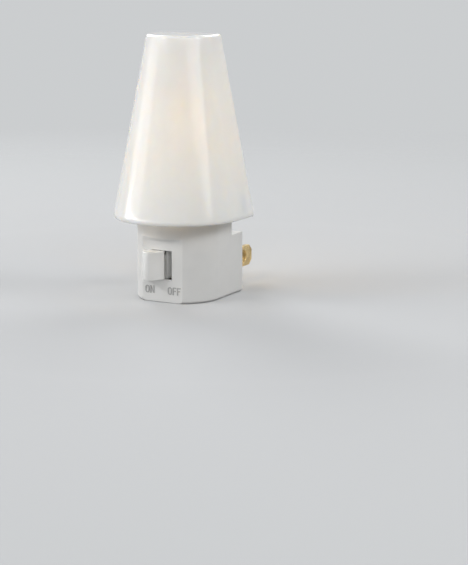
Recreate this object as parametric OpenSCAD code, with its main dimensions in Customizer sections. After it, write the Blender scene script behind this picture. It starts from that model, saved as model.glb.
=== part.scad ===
// Plug in night light with a slide switch, a lift off shade and a screw in lamp.
// Millimetres. X runs right, Y runs into the wall, Z runs up.
// The origin is midway between the two blades on the wall side face of the base.

/* [Base] */
// Width of the base across its flat sides
base_width = 26; // [24:0.2:28]
// Distance from the wall side face to the centre of the round front
front_centre = 15.3; // [13:0.1:17]
// Distance from the wall side face to the flat switch panel
panel_reach = 26.4; // [25.5:0.1:27.5]
// Height of the top edge of the switch panel
panel_top = 11.3; // [10.5:0.1:12]
// Depth of the bottom face below the blades
base_drop = 8.2; // [8:0.1:9]
// Height of the rear step that faces the wall
step_top = 10.3; // [10:0.1:11]
// Distance of the upper body from the wall side face
step_depth = 6.9; // [6.5:0.1:7]
// Height of the top face inside the shade
base_top = 26; // [25.5:0.1:27]
// Thickness of the moulded walls
wall = 1.5; // [1.2:0.1:1.6]
// Radius along the lower outer edge
edge_round = 0.9; // [0.4:0.1:1.2]

/* [Plug] */
// Distance between the two blades
blade_pitch = 12.7; // [12.6:0.1:12.8]
// Thickness of each blade
blade_thick = 1.5; // [1.4:0.05:1.6]
// Width of the narrow live blade
hot_width = 6.35; // [6.2:0.05:6.6]
// Width of the wide neutral blade
neutral_width = 7.94; // [7.8:0.02:8.1]
// Length of the blades outside the base
blade_length = 17.5; // [15.9:0.1:18.3]
// Radius of the hole near each blade tip
blade_hole = 1.98; // [1.8:0.02:2.1]
// Distance of that hole from the base
blade_hole_reach = 11.7; // [11:0.1:12.2]

/* [Switch] */
// Sideways place of the middle of the slot in the panel
slot_x = -0.15; // [-0.3:0.05:0]
// Half width of the slot in the panel
slot_half = 3.25; // [3.2:0.05:3.3]
// Height of the slot in the panel
slot_height = 8.6; // [8:0.1:9]
// Height of the middle of the slot
slot_mid = 3.1; // [2.8:0.1:3.4]
// Distance from the middle to either switch position
switch_throw = 2.6; // [2.5:0.05:2.6]
// Half width of the knob at its foot
knob_half = 3.6; // [3.4:0.05:3.7]
// Half width of the narrow front of the knob
knob_front_half = 0.95; // [0.7:0.05:1.2]
// Reach of the front of the knob in front of the panel
knob_reach = 4.7; // [4:0.1:5]
// Reach of the foot of the knob in front of the panel
knob_foot = 0.5; // [0.4:0.05:0.8]

/* [Shade] */
// Half width of the shade at its rim
shade_half_low = 19.84; // [19:0.02:20.5]
// Half width of the shade at its top
shade_half_top = 10.2; // [9.5:0.1:11]
// Distance from the wall side face to the middle of the rim curve
shade_mid_low = 16.05; // [15.5:0.05:16.5]
// Distance from the wall side face to the middle of the top curve
shade_mid_top = 14.72; // [14:0.02:15.5]
// Distance from the wall side face to the open back at the rim
shade_back_low = 5.22; // [4.8:0.02:5.6]
// Distance from the wall side face to the open back at the top
shade_back_top = 8.73; // [8:0.01:9.5]
// Height of the rim of the shade
rim_height = 16.2; // [16:0.1:17.2]
// Height of the top of the shade
shade_height = 70.6; // [69:0.1:72]
// Thickness of the shade
shade_wall = 1.2; // [1:0.1:1.4]

/* [Lamp] */
// Distance of the lamp axis from the wall side face
lamp_reach = 16; // [15.8:0.1:16.2]
// Widest radius of the lamp glass
glass_radius = 10.6; // [10:0.1:10.8]
// Crest radius of the lamp cap thread
cap_radius = 5.95; // [5.9:0.01:6]

/* [Hidden] */

half = base_width / 2;
floor_z = -base_drop;
inner_half = half - wall;
inner_floor = floor_z + wall;
panel_in = -panel_reach + wall;
step_in = step_top - wall;
lamp_y = -lamp_reach;
blade_x = blade_pitch / 2;
slot_low = slot_mid - slot_height / 2;
slot_high = slot_mid + slot_height / 2;
neck_half = 0.6;
wing_half = 5.95;
lip = 0.5;
screw_x = 9.5;
screw_z = -4.6;
groove_y = -11;
plastic = [0.86, 0.86, 0.84];
shade_tint = [0.93, 0.92, 0.88];
brass_tint = [0.82, 0.66, 0.32];
steel_tint = [0.70, 0.71, 0.72];
board_tint = [0.46, 0.30, 0.17];

// An upright box from its low corner to its high corner
module block(low, high) {
    translate(low)
        cube([high[0] - low[0], high[1] - low[1], high[2] - low[2]]);
}

// Right half of an upright section with a rounded lower corner
module half_section(r, low, high, e) {
    translate([0, low + e])
        square([r, high - low - e]);
    translate([0, low])
        square([r - e, e + 0.01]);
    translate([r - e, low + e])
        circle(r = e, $fn = 32);
}

// Block with a round front and straight sides back to the given depth
module round_front(r, back, low, high, e) {
    translate([0, -front_centre, 0])
        rotate([0, 0, 180])
            rotate_extrude(angle = 180, $fn = 96)
                intersection() {
                    half_section(r, low, high, e);
                    translate([0, low])
                        square([r, high - low]);
                }
    translate([0, back, 0])
        rotate([90, 0, 0])
            linear_extrude(height = front_centre + back) {
                half_section(r, low, high, e);
                mirror([1, 0])
                    half_section(r, low, high, e);
            }
}

// Plain upright block with a round front, used for the inner hollows
module round_hollow(r, back, low, high) {
    intersection() {
        translate([0, -front_centre, low])
            cylinder(r = r, h = high - low, $fn = 96);
        block([-r, -front_centre - r, low], [r, back, high]);
    }
    if (back > -front_centre)
        block([-r, -front_centre, low], [r, back, high]);
}

// One letter made of bars on the switch panel
module bar(x, z, w, h) {
    block([x, -panel_reach - 0.18, z], [x + w, -panel_reach + 0.3, z + h]);
}

module letter_o(x, z) {
    bar(x, z, 0.35, 2);
    bar(x + 1.05, z, 0.35, 2);
    bar(x, z, 1.4, 0.35);
    bar(x, z + 1.65, 1.4, 0.35);
}

module letter_f(x, z) {
    bar(x, z, 0.35, 2);
    bar(x, z + 1.65, 1.15, 0.35);
    bar(x, z + 0.9, 0.95, 0.35);
}

module letter_n(x, z) {
    bar(x, z, 0.35, 2);
    bar(x + 1.1, z, 0.35, 2);
    bar(x + 0.3, z + 1.2, 0.4, 0.55);
    bar(x + 0.55, z + 0.7, 0.4, 0.6);
    bar(x + 0.75, z + 0.2, 0.4, 0.6);
}

// Front moulding: outer walls, switch panel, socket collar and screw bosses
module base_shell() {
    color(plastic)
    difference() {
        union() {
            difference() {
                round_front(half, 0, floor_z, base_top, edge_round);
                block([-20, -40, floor_z - 1], [20, -panel_reach, panel_top]);
                block([-20, -step_depth, step_top], [20, 1, base_top + 1]);
                intersection() {
                    union() {
                        round_hollow(inner_half, 1, inner_floor, step_in);
                        round_hollow(inner_half, -step_depth - wall, step_in - 0.01, base_top - wall);
                    }
                    block([-20, panel_in, inner_floor], [20, 2, base_top - wall]);
                }
            }
            socket_collar();
            for (s = [-1, 1])
                screw_boss(s);
            for (s = [-1, 1])
                board_rest(s);
            for (s = [-1, 1])
                spring_rest(s);
            letter_o(-5.95, -5.6);
            letter_n(-3.9, -5.6);
            letter_o(1.8, -5.55);
            letter_f(3.65, -5.55);
            letter_f(5.2, -5.55);
        }
        block(
            [slot_x - slot_half, -panel_reach - 1, slot_low],
            [slot_x + slot_half, panel_in + 0.4, slot_high]
        );
        block(
            [slot_x - slot_half, -panel_reach + lip, slot_low - lip],
            [slot_x + slot_half, panel_in + 0.4, slot_low + 0.1]
        );
        translate([0, lamp_y, 7.9])
            cylinder(r = 7.8, h = base_top - wall - 7.9, $fn = 64);
        translate([0, lamp_y, 10])
            cylinder(r = 7.3, h = 30, $fn = 64);
        for (s = [-1, 1])
            groove(s);
        for (s = [-1, 1])
            translate([s * screw_x, -15, screw_z])
                rotate([-90, 0, 0])
                    cylinder(r = 1.05, h = 20, $fn = 32);
    }
}

// Tube that holds the socket cup, hanging from the top face
module socket_collar() {
    difference() {
        translate([0, lamp_y, 12])
            cylinder(r = 9.05, h = base_top - 12 - wall + 0.01, $fn = 64);
        translate([0, lamp_y, 11])
            cylinder(r = 7.8, h = base_top - 11 - wall, $fn = 64);
    }
}

module screw_boss(s) {
    intersection() {
        union() {
            translate([s * screw_x, -14.5, screw_z])
                rotate([-90, 0, 0])
                    cylinder(r = 1.9, h = 9.5, $fn = 48);
            block(
                [min(s * screw_x, s * 12.5), -14.5, screw_z - 1.9],
                [max(s * screw_x, s * 12.5), -5, screw_z + 1.9]
            );
            block(
                [s * screw_x - 1.9, -14.5, floor_z + 1],
                [s * screw_x + 1.9, -5, screw_z]
            );
        }
        round_hollow(half - 0.3, -1, floor_z + 1, step_in);
    }
}

// Rib on each side that the switch board leans against
module board_rest(s) {
    intersection() {
        block([min(s * 9.1, s * 12), -24.6, 1], [max(s * 9.1, s * 12), -19.8, 6.5]);
        round_hollow(half - 0.3, -1, floor_z + 1, 12);
    }
}

// Small shelf under each end of the detent spring
module spring_rest(s) {
    block(
        [min(s * 4.9, s * 6.3), panel_in - 0.5, floor_z + 1],
        [max(s * 4.9, s * 6.3), -21.6, -4.4]
    );
}

// Upright groove in each side for a rib of the shade
module groove(s) {
    block(
        [min(s * 12.3, s * 14), groove_y - 1.15, 18],
        [max(s * 12.3, s * 14), groove_y + 1.15, base_top + 1]
    );
}

// Rear moulding with the blade slots, two board fingers and two socket props
module back_plate() {
    color(plastic)
    difference() {
        union() {
            block([-11.4, -2, inner_floor + 0.1], [11.4, 0, step_in - 0.1]);
            for (s = [-1, 1]) {
                block([s * 8.8 - 0.5, -18.6, 3.2], [s * 8.8 + 0.5, -1, 6.2]);
                block([s * 5 - 0.6, -18.4, 5.7], [s * 5 + 0.6, -1, 8]);
                block([s * 10.7 - 0.5, -3.6, -2.4], [s * 10.7 + 0.5, -1, 2.6]);
                block([s * 2.2 - 0.6, -3.6, -6], [s * 2.2 + 0.6, -1, -1]);
            }
        }
        block(
            [blade_x - blade_thick / 2 - 0.1, -3, -hot_width / 2 - 0.1],
            [blade_x + blade_thick / 2 + 0.1, 1, hot_width / 2 + 0.1]
        );
        block(
            [-blade_x - blade_thick / 2 - 0.1, -3, -neutral_width / 2 - 0.1],
            [-blade_x + blade_thick / 2 + 0.1, 1, neutral_width / 2 + 0.1]
        );
        for (s = [-1, 1]) {
            translate([s * screw_x, -3, screw_z])
                rotate([-90, 0, 0])
                    cylinder(r = 1.15, h = 4, $fn = 32);
            translate([s * screw_x, -1.1, screw_z])
                rotate([-90, 0, 0])
                    cylinder(r = 2, h = 2, $fn = 32);
        }
    }
}

// Insulating plate that clamps the shoulders of both blades
module blade_retainer() {
    color(board_tint)
    difference() {
        block([-11.2, -5, -6.4], [11.2, -3.6, 2.6]);
        for (s = [-1, 1]) {
            translate([s * screw_x, -6, screw_z])
                rotate([-90, 0, 0])
                    cylinder(r = 1.2, h = 4, $fn = 32);
            block([s * blade_x - 0.85, -6, -4.1], [s * blade_x + 0.85, -3, 3]);
        }
        block([7, -6, -4.6], [7.6, -3, 3]);
        block([-7.6, -6, -2.2], [-7, -3, 3]);
    }
}

// Flat plug blade with clipped tip corners, a tip hole and inner shoulders
module blade(x, w, shoulder) {
    difference() {
        union() {
            translate([x - blade_thick / 2, 0, 0])
                rotate([90, 0, 90])
                    linear_extrude(height = blade_thick)
                        polygon([
                            [-8.5, -w / 2],
                            [blade_length - 1.6, -w / 2],
                            [blade_length, -w / 2 + 1.6],
                            [blade_length, w / 2 - 1.6],
                            [blade_length - 1.6, w / 2],
                            [-8.5, w / 2]
                        ]);
            block([x - blade_thick / 2, -3.6, -shoulder], [x + blade_thick / 2, -2, shoulder]);
        }
        translate([x - 3, blade_hole_reach, 0])
            rotate([0, 90, 0])
                cylinder(r = blade_hole, h = 6, $fn = 48);
    }
}

module blade_hot() {
    color(brass_tint)
        blade(blade_x, hot_width, 4.5);
}

module blade_neutral() {
    color(brass_tint)
        blade(-blade_x, neutral_width, 5);
}

// Live strip from the narrow blade round to the front of the switch board
module hot_lead() {
    color(brass_tint) {
        block([7.1, -20.2, -4.5], [7.5, -5, -1.5]);
        block([-3.9, -20.2, -4.5], [7.5, -19.8, -1.5]);
    }
}

// Neutral strip from the wide blade up to the tab of the socket shell
module neutral_lead() {
    color(brass_tint) {
        block([-7.5, -17.2, -2], [-7.1, -5, 1.5]);
        block([-7.5, -17.2, -2], [-7.1, -14.8, 7.5]);
    }
}

// Switched strip from the board up and under the socket cup
module load_lead() {
    color(brass_tint)
    difference() {
        union() {
            block([-3.9, -20.2, 2.4], [-1.4, -19.8, 8]);
            block([-3.9, -20.2, 7.6], [-1.4, -17.9, 8]);
            block([-3.9, -18, 7.6], [2.4, -14, 8]);
        }
        translate([0, lamp_y, 7])
            cylinder(r = 0.95, h = 2, $fn = 32);
    }
}

// Insulating board that carries the fixed strips of the switch
module switch_board() {
    color(board_tint)
    difference() {
        block([-10.2, -19.8, -6.1], [10.2, -18.6, 7]);
        block([6.9, -21, -4.8], [11, -18, -1.2]);
        translate([-2.65, -20, 5.6])
            rotate([-90, 0, 0])
                cylinder(r = 0.6, h = 2, $fn = 24);
        translate([4.6, -20, -3])
            rotate([-90, 0, 0])
                cylinder(r = 0.6, h = 2, $fn = 24);
    }
}

// Leaf that clicks into the two notches of the slider
module detent_spring() {
    color(steel_tint)
    translate([slot_x, -21.7, 0])
        rotate([90, 0, 0])
            linear_extrude(height = 2.6)
                polygon([
                    [-6.2, -4.4],
                    [-1.7, -4.4],
                    [-0.5, -2.85],
                    [0.5, -2.85],
                    [1.7, -4.4],
                    [6.2, -4.4],
                    [6.2, -4.2],
                    [1.82, -4.2],
                    [0.6, -2.6],
                    [-0.6, -2.6],
                    [-1.82, -4.2],
                    [-6.2, -4.2]
                ]);
}

// Insulating cup that holds the socket shell
module socket_cup() {
    color([0.15, 0.15, 0.16])
    difference() {
        translate([0, lamp_y, 8])
            cylinder(r = 7.7, h = base_top - wall - 8, $fn = 64);
        translate([0, lamp_y, 9.6])
            cylinder(r = 6.7, h = 20, $fn = 64);
        translate([0, lamp_y, 7])
            cylinder(r = 0.95, h = 4, $fn = 32);
        block([-8, lamp_y - 1.35, 7], [-6, lamp_y + 1.35, 11]);
    }
}

// Wavy thread wall as a section turned about the lamp axis
function thread_side(r, d, z, pitch, turns, step) = [
    for (i = [0 : turns * step])
        [r - d * (0.5 + 0.5 * cos(360 * i / step)), z + pitch * i / step]
];

module thread_tube(r, d, thick, z, pitch, turns) {
    outer = thread_side(r, d, z, pitch, turns, 6);
    count = len(outer);
    inner = [for (i = [0 : count - 1]) [outer[count - 1 - i][0] - thick, outer[count - 1 - i][1]]];
    rotate_extrude($fn = 48)
        polygon(concat(outer, inner));
}

// Threaded brass shell with the tab that meets the neutral strip
module socket_shell() {
    color(brass_tint) {
        translate([0, lamp_y, 0]) {
            thread_tube(6.65, 0.25, 0.3, 10.2, 2.54, 5);
            translate([0, 0, 22.89])
                rotate_extrude($fn = 48)
                    translate([6.1, 0])
                        square([0.3, 1.2]);
        }
        block([-7.1, lamp_y - 1.2, 10.2], [-6.15, lamp_y + 1.2, 10.6]);
        block([-7.1, lamp_y - 1.2, 3.5], [-6.7, lamp_y + 1.2, 10.6]);
    }
}

// Folded leaf that meets the tip of the lamp
module centre_contact() {
    color(brass_tint)
    difference() {
        union() {
            block([-1.6, lamp_y - 3, 9.6], [1.6, lamp_y + 3, 9.9]);
            block([-1.6, lamp_y + 2.7, 9.6], [1.6, lamp_y + 3, 11.35]);
            block([-1.6, lamp_y - 2, 11.05], [1.6, lamp_y + 3, 11.35]);
        }
        translate([0, lamp_y, 9])
            cylinder(r = 0.95, h = 1.5, $fn = 32);
    }
}

// Rivets of the socket and of the switch board
module rivets() {
    color(steel_tint) {
        translate([0, lamp_y, 7])
            cylinder(r = 1.5, h = 0.6, $fn = 32);
        translate([0, lamp_y, 7.5])
            cylinder(r = 0.9, h = 2.5, $fn = 32);
        translate([0, lamp_y, 9.9])
            cylinder(r = 1.4, h = 0.5, $fn = 32);
        board_rivet(-2.65, 5.6);
        board_rivet(4.6, -3);
    }
}

module board_rivet(x, z) {
    translate([x, -20.5, z])
        rotate([-90, 0, 0])
            cylinder(r = 0.95, h = 0.3, $fn = 24);
    translate([x, -19.8, z])
        rotate([-90, 0, 0])
            cylinder(r = 0.55, h = 1.3, $fn = 24);
    translate([x, -18.6, z])
        rotate([-90, 0, 0])
            cylinder(r = 1, h = 0.4, $fn = 24);
}

// Two screws that close the base from the wall side
module case_screws() {
    color(steel_tint)
    for (s = [-1, 1])
        translate([s * screw_x, 0, screw_z])
            difference() {
                union() {
                    translate([0, -1.1, 0])
                        rotate([-90, 0, 0])
                            cylinder(r = 1.85, h = 0.9, $fn = 40);
                    translate([0, -12, 0])
                        rotate([-90, 0, 0])
                            cylinder(r = 1, h = 11, $fn = 32);
                }
                block([-1.3, -0.6, -0.2], [1.3, 1, 0.2]);
                block([-0.2, -0.6, -1.3], [0.2, 1, 1.3]);
            }
}

// Slanted shutter on each side of the slider, which closes the open half of the slot
module wing(s) {
    translate([0, 0, slot_low + 0.05])
        linear_extrude(height = slot_height + 0.2)
            polygon([
                [s * 3.2, panel_in + 0.15],
                [s * 3.45, panel_in + 0.15],
                [s * wing_half, -22.43],
                [s * wing_half, -21.75],
                [s * 3.2, panel_in + 0.85]
            ]);
}

// Sliding knob with its neck, carriage plate, wings and spring sleeve
module slider() {
    color(plastic)
    translate([slot_x - switch_throw, 0, 0])
        difference() {
            union() {
                translate([0, 0, slot_low])
                    linear_extrude(height = slot_height)
                        polygon([
                            [-knob_half, -panel_reach - 0.2],
                            [-knob_half, -panel_reach - knob_foot],
                            [-knob_front_half, -panel_reach - knob_reach],
                            [knob_front_half, -panel_reach - knob_reach],
                            [knob_half, -panel_reach - knob_foot],
                            [knob_half, -panel_reach - 0.2]
                        ]);
                block(
                    [-neck_half, -panel_reach - 1, slot_low + 0.2],
                    [neck_half, panel_in + 1, slot_high - 0.2]
                );
                block([-3.45, panel_in + 0.15, slot_low - 1.2], [3.45, panel_in + 1.5, slot_high + 0.3]);
                block([-1.95, panel_in + 1.4, -1], [1.95, -21.3, 2]);
                for (s = [-1, 1])
                    wing(s);
                for (s = [-1, 1])
                    block([s * 1.45 - 0.4, -21.4, -1], [s * 1.45 + 0.4, -20.5, 2]);
            }
            block([-4, panel_in, slot_low - lip], [4, panel_in + 0.9, slot_low + 0.05]);
            translate([0, -23.4, 0.5])
                rotate([-90, 0, 0])
                    cylinder(r = 1.2, h = 3, $fn = 32);
            for (s = [-1, 1])
                translate([s * switch_throw, panel_in, slot_low - 1.2])
                    rotate([0, 45, 0])
                        cube([1, 6, 1], center = true);
        }
}

// Points of a coil about the Y direction
function coil_points(r, y0, y1, turns, n) = [
    for (i = [0 : n])
        [r * cos(360 * turns * i / n), y0 + (y1 - y0) * i / n, r * sin(360 * turns * i / n)]
];

function unit(v) = v / norm(v);

// Round wire of eight sides along a list of points
module wire(path, r, up) {
    n = len(path);
    sides = 8;
    pts = [
        for (i = [0 : n - 1])
            let (
                a = path[max(i - 1, 0)],
                b = path[min(i + 1, n - 1)],
                t = unit(b - a),
                u = unit(cross(t, up)),
                v = cross(t, u)
            )
            for (k = [0 : sides - 1])
                path[i] + r * cos(45 * k) * u + r * sin(45 * k) * v
    ];
    walls = [
        for (i = [0 : n - 2])
            for (k = [0 : sides - 1])
                [
                    i * sides + k,
                    i * sides + (k + 1) % sides,
                    (i + 1) * sides + (k + 1) % sides,
                    (i + 1) * sides + k
                ]
    ];
    first = [[for (k = [0 : sides - 1]) sides - 1 - k]];
    last = [[for (k = [0 : sides - 1]) (n - 1) * sides + k]];
    polyhedron(points = pts, faces = concat(walls, first, last));
}

// Small coil that presses the bridge onto the fixed strips
module contact_spring() {
    color(steel_tint)
    translate([slot_x - switch_throw, 0, 0.5])
        wire(coil_points(0.85, -23.2, -21.0, 4, 48), 0.15, [0, 1, 0]);
}

// Brass bridge carried by the slider
module bridge_contact() {
    color(brass_tint)
    translate([slot_x - switch_throw, 0, 0]) {
        block([-0.95, -20.85, -4], [0.95, -20.5, 5]);
        for (z = [-3.1, 3.7])
            translate([0, -20.55, z])
                rotate([-90, 0, 0])
                    cylinder(r = 0.55, h = 0.25, $fn = 24);
    }
}

// Thin slice of the shade outline at one height
module outline(h, inset, over) {
    t = (h - rim_height) / (shade_height - rim_height);
    a = shade_half_low + (shade_half_top - shade_half_low) * t - inset;
    m = -shade_mid_low + (shade_mid_low - shade_mid_top) * t;
    b = -shade_back_low - (shade_back_top - shade_back_low) * t + over;
    translate([0, 0, h])
        linear_extrude(height = 0.01) {
            intersection() {
                translate([0, m])
                    circle(r = a, $fn = 96);
                translate([-a, m - a])
                    square([2 * a, a]);
            }
            translate([-a, m])
                square([2 * a, b - m]);
        }
}

// Tapered shade with a closed top, open towards the wall and below
module shade() {
    color(shade_tint) {
        difference() {
            hull() {
                outline(rim_height, 0.9, 0);
                outline(rim_height + 0.45, 0.35, 0);
                outline(rim_height + 1.5, 0, 0);
                outline(shade_height - 1.4, 0, 0);
                outline(shade_height - 0.5, 0.35, 0);
                outline(shade_height - 0.01, 1.2, -0.8);
            }
            hull() {
                outline(rim_height - 1, shade_wall, 6);
                outline(shade_height - 2, shade_wall, 6);
                outline(shade_height - shade_wall, shade_wall + 0.8, 6);
            }
        }
        for (s = [-1, 1])
            shade_rib(s);
    }
}

// Rib on each side that slides into a groove of the base
module shade_rib(s) {
    low_x = 12.4;
    translate([0, groove_y + 1, 0])
        rotate([90, 0, 0])
            linear_extrude(height = 2)
                polygon([
                    [s * low_x, 18.05],
                    [s * 18.7, 18.05],
                    [s * 17.7, 23.5],
                    [s * low_x, 22.6]
                ]);
}

// Outside of the lamp glass as radius and height pairs
glass_side = [
    [5, 21.5],
    [5, 24.8],
    [5.5, 26.6],
    [6.5, 29],
    [7.9, 32.6],
    [9.1, 36.6],
    [10, 40.8],
    [glass_radius - 0.12, 44.6],
    [glass_radius, 47.4],
    [glass_radius - 0.25, 50.4],
    [9.6, 54],
    [8.3, 57.6],
    [6.6, 60.6],
    [4.6, 63],
    [2.4, 64.8],
    [0, 65.5]
];

// Glass of the lamp with its hollow inside
module bulb_glass() {
    color([0.95, 0.95, 0.92, 0.45])
    translate([0, lamp_y, 0])
        difference() {
            rotate_extrude($fn = 64)
                polygon(concat(glass_side, [[0, 21.5]]));
            rotate_extrude($fn = 64)
                polygon(concat(
                    [[0, 21]],
                    [for (p = glass_side) if (p[0] > 1) [p[0] - 0.6, p[1] - (p[1] > 50 ? 0.35 : 0)]],
                    [[0, 64.9]]
                ));
        }
}

// Threaded cap of the lamp
module bulb_cap() {
    color(brass_tint)
    translate([0, lamp_y, 0]) {
        thread_tube(cap_radius, 0.45, 0.3, 13.8, 2.54, 4);
        translate([0, 0, 23.95])
            rotate_extrude($fn = 48)
                translate([5.02, 0])
                    square([0.5, 0.9]);
    }
}

// Dark glass ring between the cap and the tip
module bulb_insulator() {
    color([0.07, 0.07, 0.08])
    translate([0, lamp_y, 0])
        rotate_extrude($fn = 48)
            polygon([[1.9, 12], [2.6, 12], [5.2, 13.85], [5.2, 14.5], [1.9, 14.5]]);
}

// Tip contact of the lamp
module bulb_tip() {
    color(steel_tint)
    translate([0, lamp_y, 0])
        rotate_extrude($fn = 40)
            polygon([[0, 11.5], [1, 11.5], [1.6, 11.75], [1.9, 12.2], [1.9, 12.9], [0, 12.9]]);
}

// Glass stem inside the lamp
module bulb_stem() {
    color([0.9, 0.92, 0.92, 0.5])
    translate([0, lamp_y, 0]) {
        rotate_extrude($fn = 40)
            polygon([[0, 22], [4.4, 22], [4.4, 22.6], [2.4, 24.6], [1.6, 27], [1.5, 33], [0, 33]]);
        block([-2.4, -0.8, 32.5], [2.4, 0.8, 35]);
    }
}

// Two wires that carry the filament
module bulb_wires() {
    color(steel_tint)
    translate([0, lamp_y, 0]) {
        for (s = [-1, 1])
            wire([[s * 1.7, 0, 34.6], [s * 2.1, 0, 36.5], [s * 4.6, 0, 45], [s * 4.9, 0, 48.2]], 0.22, [0, 1, 0]);
    }
}

// Fine coil drawn as one arched wire
module bulb_filament() {
    color([0.35, 0.34, 0.33])
    translate([0, lamp_y, 0])
        wire(
            [for (i = [0 : 20]) [-4.9 + 0.49 * i, 0, 48.2 + 2.2 * sin(9 * i)]],
            0.2,
            [0, 1, 0]
        );
}

base_shell();
back_plate();
blade_retainer();
blade_hot();
blade_neutral();
hot_lead();
neutral_lead();
load_lead();
switch_board();
detent_spring();
socket_cup();
socket_shell();
centre_contact();
rivets();
case_screws();
slider();
contact_spring();
bridge_contact();
shade();
bulb_glass();
bulb_cap();
bulb_insulator();
bulb_tip();
bulb_stem();
bulb_wires();
bulb_filament();
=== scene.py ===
"""Plug in night light: finish, fine shapes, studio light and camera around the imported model.

Lengths are in millimetres, which MM turns into the metres that Blender takes, and angles in degrees,
unless a comment says otherwise.
"""
import math

import bmesh
import bpy
from mathutils import Matrix, Vector


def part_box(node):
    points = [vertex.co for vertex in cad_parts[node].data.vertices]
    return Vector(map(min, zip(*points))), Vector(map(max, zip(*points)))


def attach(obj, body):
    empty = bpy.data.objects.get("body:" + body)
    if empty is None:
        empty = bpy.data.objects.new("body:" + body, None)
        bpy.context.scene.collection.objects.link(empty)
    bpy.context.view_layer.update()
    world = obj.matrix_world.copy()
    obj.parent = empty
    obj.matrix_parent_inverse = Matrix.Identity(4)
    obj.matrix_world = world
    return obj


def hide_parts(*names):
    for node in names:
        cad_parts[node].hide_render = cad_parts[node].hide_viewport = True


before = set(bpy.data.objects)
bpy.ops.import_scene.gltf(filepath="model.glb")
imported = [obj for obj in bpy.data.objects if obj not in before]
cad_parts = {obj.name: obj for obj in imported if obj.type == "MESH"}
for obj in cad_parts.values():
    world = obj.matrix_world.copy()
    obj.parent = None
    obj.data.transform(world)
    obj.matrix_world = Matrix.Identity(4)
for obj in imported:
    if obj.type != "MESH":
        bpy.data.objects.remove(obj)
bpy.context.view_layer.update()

MM = 0.001
LAMP_AXIS = Vector((0, -16 * MM, 0))
FLOOR_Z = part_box("base_shell")[0].z

# ---------------------------------------------------------------------------
# Node helpers


class Paint:
    """A material with its Principled shader and short calls for adding nodes to it."""

    def __init__(self, name, colour, roughness, sockets=None):
        self.material = bpy.data.materials.new(name)
        self.material.use_nodes = True
        self.tree = self.material.node_tree
        self.shader = self.tree.nodes["Principled BSDF"]
        self.shader.inputs["Base Color"].default_value = (*colour, 1)
        self.shader.inputs["Roughness"].default_value = roughness
        for socket, value in (sockets or {}).items():
            self.shader.inputs[socket].default_value = value
        self.place = self.node("ShaderNodeTexCoord").outputs["Object"]

    def node(self, kind, **settings):
        made = self.tree.nodes.new(kind)
        for key, value in settings.items():
            setattr(made, key, value)
        return made

    def link(self, source, target):
        self.tree.links.new(source, target)

    def drive(self, socket, value):
        """Lets a node's output set a socket of the shader."""
        self.link(value, self.shader.inputs[socket])

    def stretched(self, scale):
        """Object coordinates stretched along one or more axes."""
        mapping = self.node("ShaderNodeMapping")
        mapping.inputs["Scale"].default_value = scale
        self.link(self.place, mapping.inputs["Vector"])
        return mapping.outputs["Vector"]

    def noise(self, size, detail=3, roughness=0.55, place=None):
        """Noise whose features are about the given size."""
        made = self.node("ShaderNodeTexNoise")
        made.inputs["Scale"].default_value = 1 / (size * MM)
        made.inputs["Detail"].default_value = detail
        made.inputs["Roughness"].default_value = roughness
        self.link(place or self.place, made.inputs["Vector"])
        return made.outputs["Fac"]

    def spread(self, value, low, high, start=0.3, end=0.7):
        """Maps a value from the range start to end to the range low to high."""
        made = self.node("ShaderNodeMapRange")
        made.inputs["From Min"].default_value = start
        made.inputs["From Max"].default_value = end
        made.inputs["To Min"].default_value = low
        made.inputs["To Max"].default_value = high
        self.link(value, made.inputs["Value"])
        return made.outputs["Result"]

    def mix(self, factor, first, second):
        """Colour mixed from two constant colours by a factor."""
        made = self.node("ShaderNodeMix", data_type="RGBA")
        made.inputs[6].default_value = (*first, 1)
        made.inputs[7].default_value = (*second, 1)
        self.link(factor, made.inputs[0])
        return made.outputs[2]

    def mottle(self, pattern, first, second, start=0.3, end=0.7):
        """Base colour that wanders between two colours with a pattern."""
        self.drive("Base Color", self.mix(self.spread(pattern, 0, 1, start, end), first, second))

    def uneven_gloss(self, pattern, low, high):
        """Roughness that wanders between two values with a pattern."""
        self.drive("Roughness", self.spread(pattern, low, high))

    def bump(self, height, depth, strength, under=None):
        """Bump of the given depth; under is an earlier bump that it is added to."""
        made = self.node("ShaderNodeBump")
        made.inputs["Distance"].default_value = depth * MM
        made.inputs["Strength"].default_value = strength
        self.link(height, made.inputs["Height"])
        if under is not None:
            self.link(under, made.inputs["Normal"])
        self.drive("Normal", made.outputs["Normal"])
        return made.outputs["Normal"]


def tinted(colour, factor):
    return tuple(c * factor for c in colour)


# ---------------------------------------------------------------------------
# Materials


def moulded(name, colour, rough, grain, mottle=0.03):
    """Moulded plastic: faint colour mottling, uneven gloss, fine grain and soft flow waves.

    rough is the lowest and the highest roughness, grain the size and the depth of the grain.
    """
    grain_size, grain_depth = grain
    paint = Paint(name, colour, rough[0])
    paint.mottle(paint.noise(7, detail=4), tinted(colour, 1 - mottle), tinted(colour, 1 + mottle / 3))
    paint.uneven_gloss(paint.noise(2.2, detail=5), *rough)
    waves = paint.bump(paint.noise(9, detail=2), depth=0.03, strength=0.5)
    fine = paint.noise(grain_size, detail=4, roughness=0.65)
    paint.bump(fine, grain_depth, strength=0.6, under=waves)
    return paint.material


def drawn_metal(name, colour, dull, rough, along, line=0.12):
    """Metal drawn or rolled along one axis: fine lines, uneven polish and slight tarnish.

    rough is the lowest and the highest roughness, along the stretch of the lines on each axis.
    """
    paint = Paint(name, colour, rough[0], {"Metallic": 1.0})
    lines = paint.noise(line, detail=4, roughness=0.6, place=paint.stretched(along))
    tarnish = paint.noise(3.5, detail=5, roughness=0.6)
    paint.mottle(tarnish, colour, dull, start=0.42, end=0.68)
    paint.uneven_gloss(lines, *rough)
    paint.bump(lines, depth=0.004, strength=0.7)
    return paint.material


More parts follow.
